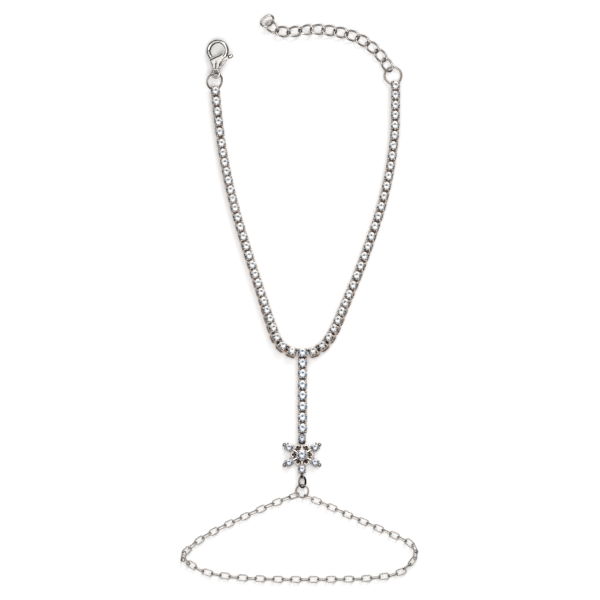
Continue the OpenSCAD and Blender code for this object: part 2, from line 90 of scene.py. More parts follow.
class Step:
    """One result in a tree of nodes. Sums on it add their Math nodes."""

    def __init__(self, tree, socket=None):
        self.tree, self.socket = tree, socket

    def node(self, kind, settings=None, sockets=None, out=0):
        """Adds a node. Its settings are set first, then the values or links of its sockets."""
        made = self.tree.nodes.new(kind)
        for name, value in (settings or {}).items():
            if name == "stops":
                while len(made.color_ramp.elements) < len(value):
                    made.color_ramp.elements.new(0.5)
                for stop, (place, colour) in zip(made.color_ramp.elements, value):
                    stop.position, stop.color = place, (*colour, 1)
            else:
                setattr(made, name, value)
        for name, value in (sockets or {}).items():
            if isinstance(value, Step):
                self.tree.links.new(value.socket, made.inputs[name])
            else:
                made.inputs[name].default_value = value
        return Step(self.tree, made.outputs[out]) if len(made.outputs) else None

    def sum(self, how, a, b=0.0):
        return self.node("ShaderNodeMath", {"operation": how}, {0: a, 1: b})

    def __add__(self, other):
        return self.sum("ADD", self, other)

    def __radd__(self, other):
        return self.sum("ADD", other, self)

    def __sub__(self, other):
        return self.sum("SUBTRACT", self, other)

    def __rsub__(self, other):
        return self.sum("SUBTRACT", other, self)

    def __mul__(self, other):
        return self.sum("MULTIPLY", self, other)

    def __rmul__(self, other):
        return self.sum("MULTIPLY", other, self)

    def held(self):
        """The same value, held between 0 and 1."""
        return self.node("ShaderNodeClamp", {}, {"Value": self})

    def tint(self, dark, bright):
        """A colour between two others. Each is a plain colour or a step of its own."""
        factor, colour_a, colour_b, result = 0, 6, 7, 2
        ends = [c if isinstance(c, Step) else (*c, 1) for c in (dark, bright)]
        return self.node("ShaderNodeMix", {"data_type": "RGBA"},
                         {factor: self, colour_a: ends[0], colour_b: ends[1]}, out=result)


def blank_finish(name):
    """An empty material and the start of its tree."""
    material = bpy.data.materials.new(name)
    material.use_nodes = True
    material.node_tree.nodes.clear()
    return material, Step(material.node_tree)


def close_finish(start, **sockets):
    """Ends a finish in its shader, whose sockets are given by their names."""
    shader = start.node("ShaderNodeBsdfPrincipled", {}, {k.replace("_", " "): v for k, v in sockets.items()})
    start.node("ShaderNodeOutputMaterial", {}, {"Surface": shader})


# Heights in the room are sines of how far up one looks. Each layer over the room's walls has the
# height of its edge, how sharply it begins there and its colour. One that lies under its edge has a
# sharpness below 0.
COLD_WALL = (0.045, 0.052, 0.066)
WARM_WALL = (0.10, 0.082, 0.070)
ROOM_LAYERS = {
    "benches": (0.42, -4.0, (0.26, 0.245, 0.235)),
    "paper sweep": (0.07, -20.0, (0.62, 0.60, 0.58)),
    "floor under the table": (-0.05, -20.0, (0.752, 0.753, 0.751)),
    "ceiling": (0.6, 7.0, (1.0, 0.997, 0.99)),
}
room = bpy.data.worlds.new("room")
room.use_nodes = True
room.node_tree.nodes.clear()
sky = Step(room.node_tree)
look = sky.node("ShaderNodeTexCoord", out="Generated")
side_y = sky.node("ShaderNodeSeparateXYZ", {}, {"Vector": look}, out="Y")
height = sky.node("ShaderNodeSeparateXYZ", {}, {"Vector": look}, out="Z")
light = (side_y * 0.5 + 0.5).held().tint(COLD_WALL, WARM_WALL)
for edge, sharpness, colour in ROOM_LAYERS.values():
    light = ((height - edge) * sharpness).held().tint(light, colour)
background = sky.node("ShaderNodeBackground", {}, {"Color": light, "Strength": 1.22})
sky.node("ShaderNodeOutputWorld", {}, {"Surface": background})
bpy.context.scene.world = room

paper, start = blank_finish("white_table")
place = start.node("ShaderNodeTexCoord", out="Object")
grain = start.node("ShaderNodeTexNoise", {}, {"Vector": place, "Scale": 900.0, "Detail": 2.0}, out=0)
close_finish(start, Base_Color=grain.tint((0.87, 0.87, 0.87), (0.89, 0.89, 0.89)), Roughness=0.9,
             Specular_IOR_Level=0.1)
table_top.data.materials.append(paper)

# The round stones. Each is a brilliant of clear foiled glass with a table, star, kite and girdle facets. It
# sits on the ledge of its cup under four claws. The white and slate-grey light that its backing throws back
# out is painted on the opaque facets as painted reflection.
TABLE_SHARE = 0.6
CROWN = 0.17
CULET = 0.44
WELD = 1e-7
NEARLY_0 = 1e-6


def loose_parts(node):
    """The welded corners of each loose part of a CAD node, as arrays in metres."""
    welded = bmesh.new()
    welded.from_mesh(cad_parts[node].data)
    bmesh.ops.remove_doubles(welded, verts=welded.verts, dist=WELD)
    parts, seen = [], set()
    for corner in welded.verts:
        if corner in seen:
            continue
        part, todo = [], [corner]
        seen.add(corner)
        while todo:
            here = todo.pop()
            part.append(here.co[:])
            for edge in here.link_edges:
                there = edge.other_vert(here)
                if there not in seen:
                    seen.add(there)
                    todo.append(there)
        parts.append(np.array(part))
    welded.free()
    return parts


def stone_seat(corners):
    """Girdle's middle, upward direction and diameter of a stone. Its culet is the outermost corner
    from which the rim looks roundest."""
    middle = corners.mean(0)
    rim_share, not_outermost = 0.9, 1
    best = None
    for tip in corners:
        up = middle - tip
        if np.linalg.norm(up) < NEARLY_0:
            continue
        up = up / np.linalg.norm(up)
        reach = (corners - tip) @ up
        flat = corners - tip - reach[:, None] * up
        wide = np.sqrt((flat ** 2).sum(1))
        rim = wide[wide > rim_share * wide.max()]
        spread = rim.std() + (0 if (reach > -NEARLY_0).all() else not_outermost)
        if best is None or spread < best[0]:
            best = (spread, tip, up, 2 * wide.max())
    _, tip, up, across = best
    return Vector(tip + up * CULET * across), Vector(up), across


def frame_on(up, ahead):
    """A turn with its Z along up and its X as near to ahead as it can be."""
    x = (ahead - up * ahead.dot(up)).normalized()
    return Matrix((x, up.cross(x), up)).transposed().to_quaternion()


def seat_points(name, seats):
    """A mesh of one point a seat. It keeps how each seat is turned and stretched."""
    mesh = bpy.data.meshes.new(name)
    mesh.from_pydata([tuple(place) for place, _, _ in seats], [], [])
    turns = mesh.attributes.new("turn", "QUATERNION", "POINT")
    turns.data.foreach_set("value", [v for _, turn, _ in seats for v in turn])
    stretches = mesh.attributes.new("stretch", "FLOAT_VECTOR", "POINT")
    stretches.data.foreach_set("vector", [v for _, _, stretch in seats for v in stretch])
    return put_down(name, mesh)


def on_seats(start, shape, seats):
    """Sets a shape on every seat and turns the copies into real faces."""
    turn = start.node("GeometryNodeInputNamedAttribute", {"data_type": "QUATERNION"}, {"Name": "turn"})
    stretch = start.node("GeometryNodeInputNamedAttribute", {"data_type": "FLOAT_VECTOR"},
                         {"Name": "stretch"})
    copies = start.node("GeometryNodeInstanceOnPoints", {}, {
        "Points": seats, "Instance": shape, "Rotation": turn, "Scale": stretch})
    return start.node("GeometryNodeRealizeInstances", {}, {"Geometry": copies})


def new_tree(name, **inputs):
    """A tree of geometry nodes with a seats input and named inputs for its sizes."""
    tree = bpy.data.node_groups.new(name, "GeometryNodeTree")
    tree.interface.new_socket(name="Geometry", in_out="OUTPUT", socket_type="NodeSocketGeometry")
    tree.interface.new_socket(name="Seats", in_out="INPUT", socket_type="NodeSocketGeometry")
    for label, kind in inputs.items():
        tree.interface.new_socket(name=label.replace("_", " "), in_out="INPUT",
                                  socket_type="NodeSocket" + kind)
    way_in = tree.nodes.new("NodeGroupInput")
    return tree, Step(tree), {s.name: Step(tree, s) for s in way_in.outputs if s.name}


def close_tree(start, given, shape, smooth=True):
    """Ends a tree in plain faces with their finish. Every face keeps a random glint, and every
    corner keeps its rise, which is 1 where the surface faces up."""
    glint = start.node("FunctionNodeRandomValue", {"data_type": "FLOAT"}, {"Seed": given["Seed"]}, out=1)
    shape = start.node("GeometryNodeStoreNamedAttribute", {"data_type": "FLOAT", "domain": "FACE"}, {
        "Geometry": shape, "Name": "glint", "Value": glint})
    normal = start.node("GeometryNodeInputNormal")
    rise = start.node("ShaderNodeSeparateXYZ", {}, {"Vector": normal}, out="Z")
    shape = start.node("GeometryNodeStoreNamedAttribute", {"data_type": "FLOAT", "domain": "POINT"}, {
        "Geometry": shape, "Name": "rise", "Value": rise})
    if smooth:
        shape = start.node("GeometryNodeSetShadeSmooth", {}, {"Geometry": shape})
    shape = start.node("GeometryNodeSetMaterial", {}, {"Geometry": shape, "Material": given["Finish"]})
    start.node("NodeGroupOutput", {}, {"Geometry": shape})


def grow(name, seats, tree, body, nodes, slot, **values):
    """Runs a tree on its seats and turns the result into a plain piece that rides on its body."""
    points = seat_points(name + "_seats", seats)
    modifier = points.modifiers.new("grow", "NODES")
    modifier.node_group = tree
    for socket in tree.interface.items_tree:
        label = socket.name.replace(" ", "_")
        if socket.in_out == "INPUT" and label in values:
            modifier[socket.identifier] = values[label]
    mesh = bpy.data.meshes.new_from_object(points.evaluated_get(bpy.context.evaluated_depsgraph_get()))
    points.modifiers.remove(modifier)
    bpy.data.objects.remove(points)
    mesh.name = name
    piece = put_down(name, mesh)
    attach(piece, body)
    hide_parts(*nodes)


def ordered(seats, from_here):
    """Seats in their order along the chain, each time the nearest one that is left."""
    left, row, here = list(seats), [], from_here
    while left:
        nearest = min(left, key=lambda s: (s[0] - here).length)
        left.remove(nearest)
        row.append(nearest)
        here = nearest[0]
    return row


def along(row, before):
    """How each seat of a row is turned, X along the chain away from the seat before it."""
    turned = []
    for i, (place, up, across) in enumerate(row):
        back = row[i - 1][0] if i else before
        ahead = row[i + 1][0] if i + 1 < len(row) else place * 2 - back
        turned.append((place, frame_on(up, ahead - back), across))
    return turned


junction = stone_seat(loose_parts("junction_stone")[0])
left_row, right_row, drop_row = [
    ordered([stone_seat(part) for part in loose_parts(node)], junction[0])
    for node in ("wrist_stones_left", "wrist_stones_right", "drop_stones")]
flake_stones = {node: stone_seat(loose_parts(node)[0]) for node in (
    "middle_stone", "upper_stone", "lower_stone", "side_stone_1", "side_stone_2", "side_stone_3",
    "side_stone_4")}
left_turned, right_turned, drop_turned = [along(row, junction[0]) for row in (left_row, right_row, drop_row)]
junction_turned = (junction[0], frame_on(junction[1], Vector((1, 0, 0))), junction[2])

# Painted reflection: brightness of each kind of facet where it faces the top, the sides and the foot of the
# stone. The culet and the facets round it are painted as they show, mirrored in the table.
CULET_SHINE = 0.08
WALL_SHINE = 0.2
PAVILION_SHINE = 0.3
SHINE = {
    "culet edge": (0.25, 0.4, 0.95),
    "culet corner": (0.5, 0.6, 1.1),
    "table corner": (0.72, 0.5, 1.1),
    "table edge": (1.0, 0.8, 0.95),
    "star": (1.05, 0.34, 0.78),
    "kite before": (1.15, 0.08, 0.46),
    "kite after": (1.05, 0.2, 0.9),
    "girdle after": (1.1, -0.05, 0.38),
    "girdle before": (1.0, 0.0, 0.72),
}


def brilliant(name):
    """A stone of diameter 1 with its girdle at height 0. Each facet keeps a value that says how bright it is
    painted, a painted reflection.
    """
    cut = bmesh.new()
    foil = cut.faces.layers.float.new("foil")
    sides, squareness, half_girdle = 8, 0.045, 0.015
    culet_r, mirror_r, mirror_shift = 0.06, 0.19, 0.07
    star_r, star_share = 0.41, 0.55

    def ring_of(radius, height, count, start):
        angles = [(i + start) * 2 * math.pi / count for i in range(count)]
        radii = [radius * (1 - squareness * (1 - math.cos(4 * a))) for a in angles]
        return [cut.verts.new((r * math.cos(a), r * math.sin(a), height)) for a, r in zip(angles, radii)]

    def facet(corners, bright):
        face = cut.faces.new(corners)
        face[foil] = bright

    def shine(kind, angle):
        """Painted reflection: brightness of a facet by the way it faces."""
        top, side, foot = SHINE[kind]
        top_spread, foot_spread = 0.5, 0.6
        rise = math.sin(angle)
        return side + (top - side) * max(0, rise) ** top_spread + (foot - side) * max(0, -rise) ** foot_spread

    culet_rim = ring_of(culet_r, CROWN, sides, 0.5)
    mirror = ring_of(mirror_r, CROWN, sides, 0)
    for corner in culet_rim + mirror:
        corner.co.y += mirror_shift
    rim = ring_of(TABLE_SHARE / 2, CROWN, sides, 0.5)
    star = ring_of(star_r, CROWN * star_share + half_girdle * (1 - star_share), sides, 0)
    top = ring_of(0.5, half_girdle, 2 * sides, 0)
    low = ring_of(0.5, -half_girdle, 2 * sides, 0)
    tip = cut.verts.new((0, 0, -CULET))
    facet(culet_rim, CULET_SHINE)
    for i in range(sides):
        j = (i + 1) % sides
        flat, corner = i * 2 * math.pi / sides, (i + 0.5) * 2 * math.pi / sides
        facet([culet_rim[i - 1], mirror[i], culet_rim[i]], shine("culet edge", flat))
        facet([culet_rim[i], mirror[i], mirror[j]], shine("culet corner", corner))
        facet([mirror[i], rim[i], mirror[j]], shine("table corner", corner))
        facet([mirror[i], rim[i - 1], rim[i]], shine("table edge", flat))
        facet([star[i], rim[i], rim[i - 1]], shine("star", flat))
        facet([rim[i], star[i], top[2 * i + 1]], shine("kite before", corner))
        facet([rim[i], top[2 * i + 1], star[j]], shine("kite after", corner))
        facet([star[i], top[2 * i], top[2 * i + 1]], shine("girdle after", flat))
        facet([star[i], top[2 * i - 1], top[2 * i]], shine("girdle before", flat))
    for i in range(2 * sides):
        j = (i + 1) % (2 * sides)
        facet([top[i], low[i], low[j], top[j]], WALL_SHINE)
        facet([low[i], tip, low[j]], PAVILION_SHINE)
    mesh = bpy.data.meshes.new(name)
    cut.to_mesh(mesh)
    cut.free()
    return put_down(name, mesh)


def foiled(name, slate, sky_grey, pale):
    """Foiled glass, opaque: each facet has its own painted brightness, a painted reflection, and each stone
    is a little different.
    """
    facet_spread, cloud_spread, dimming = 0.22, 0.4, 0.11
    shadow, white = tuple(c * 0.18 for c in slate), (0.83, 0.83, 0.83)
    material, start = blank_finish(name)
    foil = start.node("ShaderNodeAttribute", {"attribute_name": "foil"}, out="Fac")
    glint = start.node("ShaderNodeAttribute", {"attribute_name": "glint"}, out="Fac")
    place = start.node("ShaderNodeTexCoord", out="Object")
    cloud = start.node("ShaderNodeTexNoise", {}, {"Vector": place, "Scale": 1700.0, "Detail": 1.0}, out=0)
    # Painted reflection per facet, varied at random from facet to facet and across the stone.
    bright = (foil + (glint - 0.5) * facet_spread + (cloud - 0.5) * cloud_spread - dimming).held()
    colour = start.node("ShaderNodeValToRGB", {"stops": [
        (0.0, shadow), (0.3, slate), (0.55, sky_grey), (0.78, pale), (1.0, white)]}, {"Fac": bright})
    close_finish(start, Base_Color=colour, Roughness=0.12, IOR=1.45, Specular_IOR_Level=0.2,
                 Coat_Weight=0.1, Coat_Roughness=0.02)
    return material


clear_stone = foiled("foiled_glass", slate=(0.155, 0.157, 0.168), sky_grey=(0.375, 0.385, 0.40),
                     pale=(0.63, 0.635, 0.645))
blue_stone = foiled("foiled_glass_in_the_drop", slate=(0.108, 0.138, 0.182), sky_grey=(0.305, 0.35, 0.41),
                    pale=(0.595, 0.635, 0.68))
lilac_stone = foiled("foiled_glass_in_the_snowflake", slate=(0.09, 0.105, 0.15), sky_grey=(0.30, 0.33, 0.40),
                     pale=(0.52, 0.55, 0.62))

stone_shape = brilliant("stone_shape")
stone_tree, start, given = new_tree("stones_in_cups", Stone="Object", Seed="Int", Finish="Material")
shape = start.node("GeometryNodeObjectInfo", {}, {"Object": given["Stone"]}, out="Geometry")
close_tree(start, given, on_seats(start, shape, given["Seats"]), smooth=False)


def stone_seats(row, swell):
    """Stones lie with the same facet towards the wrist, give or take a few degrees. The swell is
    how far they bulge out between the claws."""
    step, long_sway, side_sway = 2.4, 0.16, 0.2
    ahead = [Vector((1 + math.cos(i * step) * long_sway, math.sin(i * step) * side_sway, 0))
             for i in range(len(row))]
    return [(place, frame_on(up, way), (across * swell,) * 3) for (place, up, across), way in zip(row, ahead)]


for name, seats, nodes, seed, finish in (
        ("wrist_stones_left_cut", stone_seats(left_row, swell=1.06),
         ["wrist_stones_left"], 3, clear_stone),
        ("wrist_stones_right_cut", stone_seats(right_row, swell=1.06),
         ["wrist_stones_right"], 5, clear_stone),
        ("drop_stones_cut", stone_seats([junction] + drop_row, swell=1.12),
         ["drop_stones", "junction_stone"], 8, blue_stone),
        ("snowflake_stones_cut", stone_seats(list(flake_stones.values()), swell=1.1),
         list(flake_stones), 12, lilac_stone)):
    grow(name, seats, stone_tree, "bracelet", nodes, "stone", Stone=stone_shape, Seed=seed, Finish=finish)
bpy.data.objects.remove(stone_shape)

# The claw cups. Every stone sits in a stamped brass cup with silver-coloured plating. Four claws
# rise from the cup's foot along its wall and are bent in over the stone's edge, and a flat bar
# joins each cup to the one before it.
CUP_HALF_L = 1.1
CUP_HALF_W = 1.12
CUP_H = 1.5
GIRDLE_H = 1.72
CUP_SQUARENESS = 5
# Height and share of the cup's full width up its outside, then height and radius down its bore
CUP_OUTSIDE = ((0, 0.97), (0.06, 1.0), (0.2, 1.0), (0.3, 0.96), (1.1, 0.96), (1.25, 1.0), (1.42, 1.0),
               (CUP_H, 0.98))
CUP_BORE = ((CUP_H, 1.12), (1.25, 0.95), (1.15, 0.86), (0, 0.86))
THINNEST_WALL = 0.05
DIP_FROM, DIP_DEPTH = 0.9, 0.2
CLAW_R = 0.19
# Distance from the cup's middle, height and share of its thickness along a claw, then its tip
CLAW_WAY = ((1.3, 0.12, 0.85), (1.33, 0.9, 0.95), (1.36, 1.5, 1.05), (1.35, 1.82, 1.1), (1.27, 2.0, 1.15),
            (1.14, 2.1, 1.15), (1.02, 2.13, 0.75))
CLAW_TIP = (0.95, 2.08)
CLAW_BROAD, CLAW_THIN = 1.2, 0.8


def plating(name, wear_and_shade, bright, ground, depth=0.3, wall=None, highlight_falloff=1.6, glint_specks=0.0, steep=1.4):
    """Polished plating whose colour carries painted light. Under the ground's height it turns brown and dull,
    by so much for each millimetre of depth: partly wear, partly painted shade. What faces up keeps the bright
    colour as a painted highlight, and the falloff says how fast that fades as the surface tilts. Walls that
    are steep enough have a colour of their own, a painted reflection of the table, and a share of random
    specks adds painted glints and dark spots."""
    upright_from, spots_from, spot_contrast = 1.2, 0.3, 3.0
    lit_level, patches = 1.12, 0.7
    matt, gloss, patch_matt, rub_matt = 0.5, 0.36, 0.16, 0.08
    material, start = blank_finish(name)
    place = start.node("ShaderNodeTexCoord", out="Object")
    height = start.node("ShaderNodeSeparateXYZ", {}, {"Vector": place}, out="Z")
    rise = start.node("ShaderNodeAttribute", {"attribute_name": "rise"}, out="Fac")
    patch = start.node("ShaderNodeTexNoise", {}, {"Vector": place, "Scale": 700.0, "Detail": 3.0}, out=0)
    rub = start.node("ShaderNodeTexNoise", {}, {"Vector": place, "Scale": 9000.0, "Detail": 2.0}, out=0)
    speck = start.node("ShaderNodeTexNoise", {}, {"Vector": place, "Scale": 2600.0, "Detail": 1.0}, out=0)
    # Steep walls take the wall colour, a painted reflection of the table, in random spots.
    upright = (upright_from - rise * steep).held() * ((speck - spots_from) * spot_contrast).held()
    low = upright.tint(wear_and_shade, wall or wear_and_shade)
    # Painted light, with some wear: bright where the surface faces up and lies high, painted shade where it
    # tilts away or lies low, broken by random patches and specks of painted glint.
    clean_and_lit = (lit_level + (rise - 1.0) * highlight_falloff + (height * (1 / MM) - ground) * depth
             + (patch - 0.5) * patches + (speck - 0.5) * glint_specks).held()
    roughness = (matt - clean_and_lit * gloss + patch * patch_matt + rub * rub_matt).held()
    bump = start.node("ShaderNodeBump", {}, {"Strength": 0.12, "Distance": 0.02 * MM, "Height": rub})
    close_finish(start, Base_Color=clean_and_lit.tint(low, bright), Metallic=1.0, Roughness=roughness, Normal=bump)
    return material


# Cup plating: the dark brown low down between the cups is painted shade, up-facing claws and rims carry
# painted highlights, and the pale outer walls are a painted reflection of the table.
cup_plating = plating("cup_plating", wear_and_shade=(0.034, 0.019, 0.012), bright=(0.54, 0.455, 0.385), ground=2.0,
                      depth=2.6, wall=(0.72, 0.54, 0.44))
# The bars are painted dark brown all over: painted shade, as they sit low between the cups.
bar_plating = plating("bar_plating", wear_and_shade=(0.05, 0.03, 0.02), bright=(0.12, 0.075, 0.05), ground=0.5)


def claw_cup(name):
    """A square cup with its foot at height 0 and the chain along X, in millimetres."""
    cup = bmesh.new()
    steps, claw_sides = 32, 6
    around = [2 * math.pi * i / steps for i in range(steps)]

    def wall_r(angle):
        square = ((abs(math.cos(angle)) / CUP_HALF_L) ** CUP_SQUARENESS
                  + (abs(math.sin(angle)) / CUP_HALF_W) ** CUP_SQUARENESS)
        return square ** (-1 / CUP_SQUARENESS)

    def row_of(height, radii):
        """A row round the cup. Its upper edge dips between the claws."""
        low = max(0, height - DIP_FROM) / (CUP_H - DIP_FROM) * DIP_DEPTH
        return [cup.verts.new((r * math.cos(a), r * math.sin(a),
                               height - low * (1 - max(0.0, -math.cos(4 * a))) ** 2))
                for a, r in zip(around, radii)]

    rows = [row_of(height, [wall_r(a) * share for a in around]) for height, share in CUP_OUTSIDE]
    rows += [row_of(height, [min(radius, wall_r(a) - THINNEST_WALL) for a in around])
             for height, radius in CUP_BORE]
    for lower, upper in zip(rows, rows[1:] + rows[:1]):
        for i in range(steps):
            j = (i + 1) % steps
            cup.faces.new((lower[i], lower[j], upper[j], upper[i]))

    turns = [2 * math.pi * s / claw_sides for s in range(claw_sides)]
    for corner in range(4):
        angle = math.pi / 4 + corner * math.pi / 2
        out = Vector((math.cos(angle), math.sin(angle), 0))
        across = Vector((-math.sin(angle), math.cos(angle), 0))
        rings = []
        for k, (r, z, thick) in enumerate(CLAW_WAY):
            a, b = CLAW_WAY[max(k - 1, 0)], CLAW_WAY[min(k + 1, len(CLAW_WAY) - 1)]
            ahead = (out * (b[0] - a[0]) + Vector((0, 0, b[1] - a[1]))).normalized()
            normal = across.cross(ahead)
            middle = out * r + Vector((0, 0, z))
            rings.append([cup.verts.new(middle + CLAW_R * thick * (
                math.cos(t) * across * CLAW_BROAD + math.sin(t) * normal * CLAW_THIN)) for t in turns])
        for a, b in zip(rings, rings[1:]):
            for s in range(claw_sides):
                cup.faces.new((a[s], a[(s + 1) % claw_sides], b[(s + 1) % claw_sides], b[s]))
        tip = cup.verts.new(out * CLAW_TIP[0] + Vector((0, 0, CLAW_TIP[1])))
        for s in range(claw_sides):
            cup.faces.new((rings[-1][s], rings[-1][(s + 1) % claw_sides], tip))
        cup.faces.new(list(reversed(rings[0])))
    bmesh.ops.recalc_face_normals(cup, faces=cup.faces)
    mesh = bpy.data.meshes.new(name)
    cup.to_mesh(mesh)
    cup.free()
    return put_down(name, mesh)


cup_shape = claw_cup("cup_shape")
cup_tree, start, given = new_tree("cups_on_seats", Cup="Object", Seed="Int", Finish="Material")
shape = start.node("GeometryNodeObjectInfo", {}, {"Object": given["Cup"]}, out="Geometry")
close_tree(start, given, on_seats(start, shape, given["Seats"]))


def foot_seats(turned, gap):
    """The cups' feet under their stones, each cup as long as its room in the chain allows."""
    lone_room, longest = 2.6 * MM, 1.2
    seats = []
    for i, (place, turn, _) in enumerate(turned):
        rooms = [(place - turned[k][0]).length for k in (i - 1, i + 1) if 0 <= k < len(turned)]
        room_here = min(rooms or [lone_room]) / MM
        long = min(max((room_here - gap) / (2 * CUP_HALF_L), 1.0), longest)
        seats.append((place - turn @ Vector((0, 0, GIRDLE_H * MM)), turn, (long * MM, MM, MM)))
    return seats


for name, seats, nodes, seed in (
        ("wrist_cups_left", foot_seats(left_turned, gap=0.3), ["wrist_settings_left"], 21),
        ("wrist_cups_right", foot_seats(right_turned, gap=0.3), ["wrist_settings_right"], 22),
        ("drop_cups", foot_seats([junction_turned], gap=0.3) + foot_seats(drop_turned, gap=0.25),
         ["junction_setting", "drop_settings"], 23)):
    grow(name, seats, cup_tree, "bracelet", nodes, "silver_metal", Cup=cup_shape, Seed=seed,
         Finish=cup_plating)
bpy.data.objects.remove(cup_shape)

BAR_HEIGHT = 0.5
BAR_WIDE, BAR_THICK = 0.95, 0.3
# A bar is this much shorter than the way between the middles of its two cups
BAR_SHORTER = 1.4
# Width of the wrist chain's first bars and how far they lie towards the wrist
NARROW_BAR = (0.36, 0.8)


def link_bars(turned, first=(BAR_WIDE, 0)):
    """Flat bars that join each cup to the one before it, from the junction on. The first one can be
    narrower and lie towards the wrist."""
    bars = []
    for (back_place, back_turn, _), (place, turn, _) in zip([junction_turned] + turned, turned):
        wide, shift = (BAR_WIDE, 0) if bars else first
        low = Vector((0, 0, (BAR_HEIGHT - GIRDLE_H) * MM))
        a, b = place + turn @ low, back_place + back_turn @ low
        up = (turn @ Vector((0, 0, 1)) + back_turn @ Vector((0, 0, 1))).normalized()
        middle = (a + b) / 2 + Vector((0, shift * MM, 0))
        size = ((b - a).length - BAR_SHORTER * MM, wide * MM, BAR_THICK * MM)
        bars.append((middle, frame_on(up, b - a), size))
    return bars


bar_tree, start, given = new_tree("bars_between_cups", Seed="Int", Finish="Material")
shape = start.node("GeometryNodeMeshCube", {}, {"Size": (1.0, 1.0, 1.0)})
close_tree(start, given, on_seats(start, shape, given["Seats"]), smooth=False)
bars = link_bars(left_turned, NARROW_BAR) + link_bars(right_turned, NARROW_BAR) + link_bars(drop_turned)
grow("cup_bars", bars, bar_tree, "bracelet", [], "silver_metal", Seed=24, Finish=bar_plating)

# The snowflake. One casting with silver-coloured plating: seven claw cups, six hollow petals and
# four ball tips. The drop's last bar and the loop for the ring below are soldered to it.
GROOVE_ASIDE, GROOVE_HALF_W = 0.38, 0.19
GROOVE_FROM, GROOVE_TO = 1.75, 3.1
GROOVE_DEPTH, GROOVE_FOOT = 0.8, 0.5
ARMS_FROM = 0.6


def casting(name, node, body, grain, rounds, material, carve=lambda corners: corners):
    """A cast copy of a CAD node. Its corners are rounded as polishing leaves them, and carve moves
    its points, given in millimetres, where a tool has cut it."""
    solid = bmesh.new()
    solid.from_mesh(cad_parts[node].data)
    bmesh.ops.remove_doubles(solid, verts=solid.verts, dist=WELD)
    bmesh.ops.scale(solid, vec=(1 / MM, 1 / MM, 1 / MM), verts=solid.verts)
    rough = bpy.data.meshes.new(name + "_rough")
    solid.to_mesh(rough)
    solid.free()
    blank = put_down(name + "_rough", rough)
    remesh = blank.modifiers.new("skin", "REMESH")
    remesh.mode = "VOXEL"
    remesh.voxel_size = grain
    polish = blank.modifiers.new("polish", "SMOOTH")
    polish.iterations = rounds
    polish.factor = 0.5
    mesh = bpy.data.meshes.new_from_object(blank.evaluated_get(bpy.context.evaluated_depsgraph_get()))
    bpy.data.objects.remove(blank)
    corners = np.empty(3 * len(mesh.vertices))
    mesh.vertices.foreach_get("co", corners)
    mesh.vertices.foreach_set("co", carve(corners.reshape(-1, 3)).ravel() * MM)
    mesh.update()
    mesh.name = name
    rise = mesh.attributes.new("rise", "FLOAT", "POINT")
    rise.data.foreach_set("value", [corner.normal.z for corner in mesh.vertices])
    mesh.shade_smooth()
    mesh.materials.clear()
    mesh.materials.append(material)
    piece = put_down(name, mesh)
    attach(piece, body)
    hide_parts(node)


def beside_the_arms(corners):
    """A round groove on both sides of each arm, between it and the petals."""
    cut = np.zeros(len(corners))
    for place, _, _ in list(flake_stones.values())[1:]:
        arm = Vector((place.x, place.y)).normalized()
        out = corners[:, 0] * arm.x + corners[:, 1] * arm.y
        aside = np.abs(corners[:, 1] * arm.x - corners[:, 0] * arm.y)
        groove = (1 - ((aside - GROOVE_ASIDE) / GROOVE_HALF_W) ** 2).clip(0)
        cut = np.maximum(cut, groove * ((out > GROOVE_FROM) & (out < GROOVE_TO)))
    top = corners[:, 2]
    lowered = np.where(top > ARMS_FROM, np.maximum(top - GROOVE_DEPTH * cut, GROOVE_FOOT), top)
    return np.column_stack((corners[:, :2], lowered))


# Snowflake plating: painted shade in its hollows and low parts, painted highlights where it faces up, random
# painted glints and dark specks, and a painted reflection of the table on its steep sides.
flake_plating = plating("snowflake_plating", wear_and_shade=(0.028, 0.018, 0.013), bright=(0.44, 0.405, 0.375),
                        ground=1.08, depth=1.4, wall=(0.40, 0.30, 0.25), highlight_falloff=3.6, glint_specks=1.5)
casting("snowflake_casting", "snowflake", "bracelet", grain=0.062, rounds=5,
        material=flake_plating, carve=beside_the_arms)

# The rings. Round jump rings of plated wire, each bent shut with a fine slit. They join the wrist
# chain to the clasp and the extender, and the snowflake to the finger loop.
# Each row has the ring's node, its outer diameter, its wire and the angle of its slit.
RINGS = (
    ("flake_ring", 3.5, 0.52, 200),
    ("loop_ring", 3.8, 0.4, 100),
    ("clasp_ring", 4.92, 0.47, 35),
    ("extender_ring", 5.05, 0.47, 150),
)


def plane_of(corners):
    """Middle and principal directions of a flat loop of wire, longest first."""
    middle = corners.mean(0)
    _, _, axes = np.linalg.svd(corners - middle, full_matrices=False)
    reach = (corners - middle) @ axes.T
    middle = middle + ((reach.max(0) + reach.min(0)) / 2) @ axes
    return Vector(middle), [Vector(a) for a in axes]


# Ring plating: painted highlights where the wire faces up, painted shade low down, and a pale painted
# reflection of the table on its steep sides.
ring_plating = plating("ring_plating", wear_and_shade=(0.03, 0.021, 0.016), bright=(0.30, 0.262, 0.235), ground=0.9,
                       wall=(0.46, 0.41, 0.37), highlight_falloff=2.2, steep=2.6)
